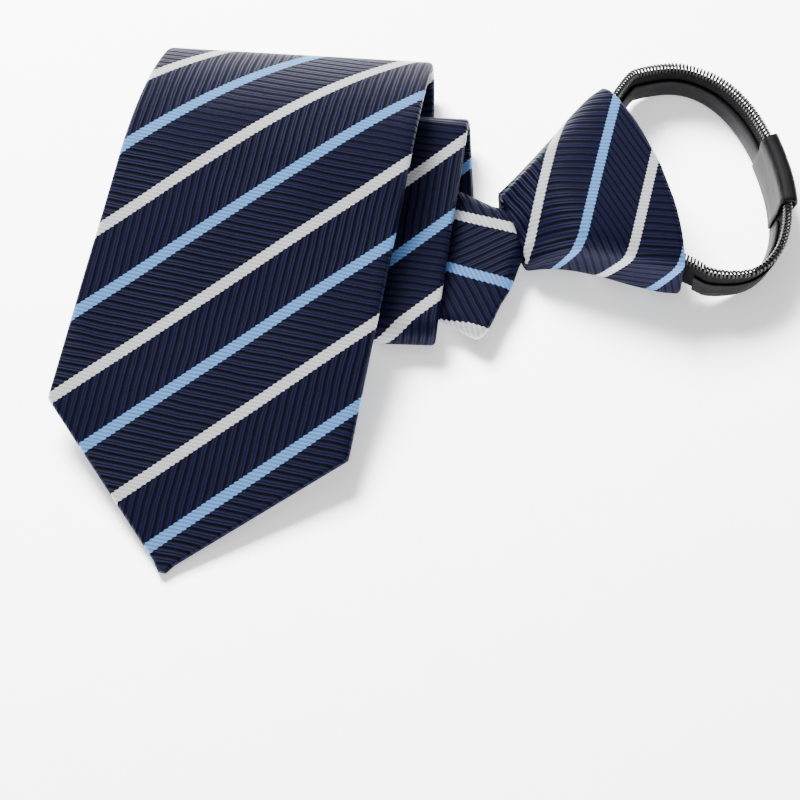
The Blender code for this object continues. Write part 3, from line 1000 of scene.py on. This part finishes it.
def woven_tape():
    """Black twill tape, with its threads running along it."""
    f = Finish("woven_black_tape", Specular_IOR_Level=0.15)
    u, v = f.split("Cloth")
    slanted = f.math("ADD", u, f.math("MULTIPLY", v, TWILL_SLANT))
    twill = f.math("FRACT", f.math("DIVIDE", slanted, TWILL))
    thread = f.math("SINE", f.math("MULTIPLY", v, 2 * math.pi / TAPE_THREAD))
    lump = f.math("PINGPONG", f.math("MULTIPLY", twill, 2.0), 1.0)
    height = f.math("MULTIPLY_ADD", thread, 0.3, lump)
    # Painted shade: the tape darkens in the hollows of its twill and between its threads, over random
    # flecks from the noise.
    shade_and_fleck = f.math("MULTIPLY_ADD", f.noise(u, v, 2.2, 4.0), 0.5, f.math("MULTIPLY", height, 0.3))
    f.set("Base Color", f.mix(shade_and_fleck, *COLOURS["tape"]))
    f.set("Roughness", f.blend(lump, 0.85, 0.6))
    f.bump(height, TAPE_DEPTH * MM)
    return f.mat


def coil_nylon():
    """The coil's smooth stiff nylon thread."""
    f = Finish("coil_nylon", Specular_IOR_Level=0.45, Coat_Weight=0.12, Coat_Roughness=0.25)
    cloud = f.cloud(900.0)
    f.set("Base Color", f.mix(cloud, *COLOURS["coil"]))
    f.set("Roughness", f.blend(cloud, 0.22, 0.42))
    return f.mat


def smooth_satin():
    """The smooth black cloth of the folded bands and the sleeve, a little creased along its length."""
    f = Finish("smooth_black_band", Specular_IOR_Level=0.22)
    u, v = f.split("Cloth")
    crease = f.noise(f.math("MULTIPLY", u, 0.25), v, 0.35, 3.0)
    weave = f.math("SINE", f.math("MULTIPLY", u, 2 * math.pi / BAND_THREAD))
    height = f.math("MULTIPLY_ADD", weave, 0.05, crease)
    # Painted shade: the band is darker in the hollows of its creases, where the crease height is low.
    f.set("Base Color", f.mix(crease, *COLOURS["band"]))
    f.set("Roughness", f.blend(crease, 0.5, 0.66))
    f.bump(height, BAND_DEPTH * MM)
    return f.mat


def floor_paper():
    f = Finish("pale_paper", Roughness=0.9, Specular_IOR_Level=0.2, Emission_Strength=0.7)
    f.shader.inputs["Emission Color"].default_value = (1, 1, 1, 1)
    f.set("Base Color", f.mix(f.cloud(60.0), *COLOURS["paper"]))
    return f.mat


# Camera, floor and light
TARGET = FRAME_SHIFT
DISTANCE = 0.720
ELEVATION = math.radians(62)
LENS = 121.5
SENSOR = 36.0
FLOOR_HALF = 2.5
WORLD_LIGHT = 0.30
LIGHTS = (
    # name, place, size, watts, whether it lights the floor alone
    ("back_softbox", (-0.35, 0.70, 0.75), 0.55, 21.0, False),
    ("top_softbox", (-0.10, 0.05, 1.10), 0.70, 3.0, False),
    ("floor_softbox", (-0.32, 0.68, 0.68), 0.40, 100.0, True),
)


def make_camera():
    data = bpy.data.cameras.new("photo_camera")
    data.lens = LENS
    data.sensor_width = SENSOR
    ob = bpy.data.objects.new("photo_camera", data)
    ob.location = TARGET + DISTANCE * Vector((0, -math.cos(ELEVATION), math.sin(ELEVATION)))
    ob.rotation_euler = (math.pi / 2 - ELEVATION, 0, 0)
    bpy.context.collection.objects.link(ob)
    bpy.context.scene.camera = ob


def make_floor():
    corners = [(x * FLOOR_HALF, y * FLOOR_HALF, 0) for x, y in ((-1, -1), (1, -1), (1, 1), (-1, 1))]
    floor = bpy.data.meshes.new("floor")
    floor.from_pydata(corners, [], [(0, 1, 2, 3)])
    floor.materials.append(floor_paper())
    ob = bpy.data.objects.new("floor", floor)
    bpy.context.collection.objects.link(ob)
    return ob


def make_stage():
    floor_only = bpy.data.collections.new("floor_only")
    floor_only.objects.link(make_floor())
    for name, place, width, watts, alone in LIGHTS:
        data = bpy.data.lights.new(name, "AREA")
        data.shape = "SQUARE"
        data.size = width
        data.energy = watts
        light = bpy.data.objects.new(name, data)
        light.location = place
        light.rotation_euler = (TARGET - Vector(place)).to_track_quat("-Z", "Y").to_euler()
        bpy.context.collection.objects.link(light)
        if alone:
            light.light_linking.receiver_collection = floor_only
    world = bpy.data.worlds.new("studio")
    world.use_nodes = True
    background = world.node_tree.nodes["Background"].inputs
    background["Color"].default_value = (1, 1, 1, 1)
    background["Strength"].default_value = WORLD_LIGHT
    bpy.context.scene.world = world


def dress():
    silk = striped_silk()
    tape = woven_tape()
    coil = coil_nylon()
    satin = smooth_satin()
    strip, places = folded_strip()
    knot = Knot(strip, places[-1] + NECK_LENGTH)
    pieces = [make_blade(strip, places, silk), make_knot(knot, silk)]
    pieces += make_neckband(knot, tape, coil, satin)
    pieces.append(make_sleeve(knot, satin))
    for ob in pieces:
        for v in ob.data.vertices:
            v.co += FRAME_SHIFT


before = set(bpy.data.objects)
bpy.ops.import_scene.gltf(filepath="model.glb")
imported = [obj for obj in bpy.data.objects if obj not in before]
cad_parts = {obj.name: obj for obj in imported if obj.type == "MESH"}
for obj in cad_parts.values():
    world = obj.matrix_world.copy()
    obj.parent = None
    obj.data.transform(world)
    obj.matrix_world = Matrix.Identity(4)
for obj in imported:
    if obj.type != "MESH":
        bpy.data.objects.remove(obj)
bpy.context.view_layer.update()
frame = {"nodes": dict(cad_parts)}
make_camera()
make_stage()
dress()
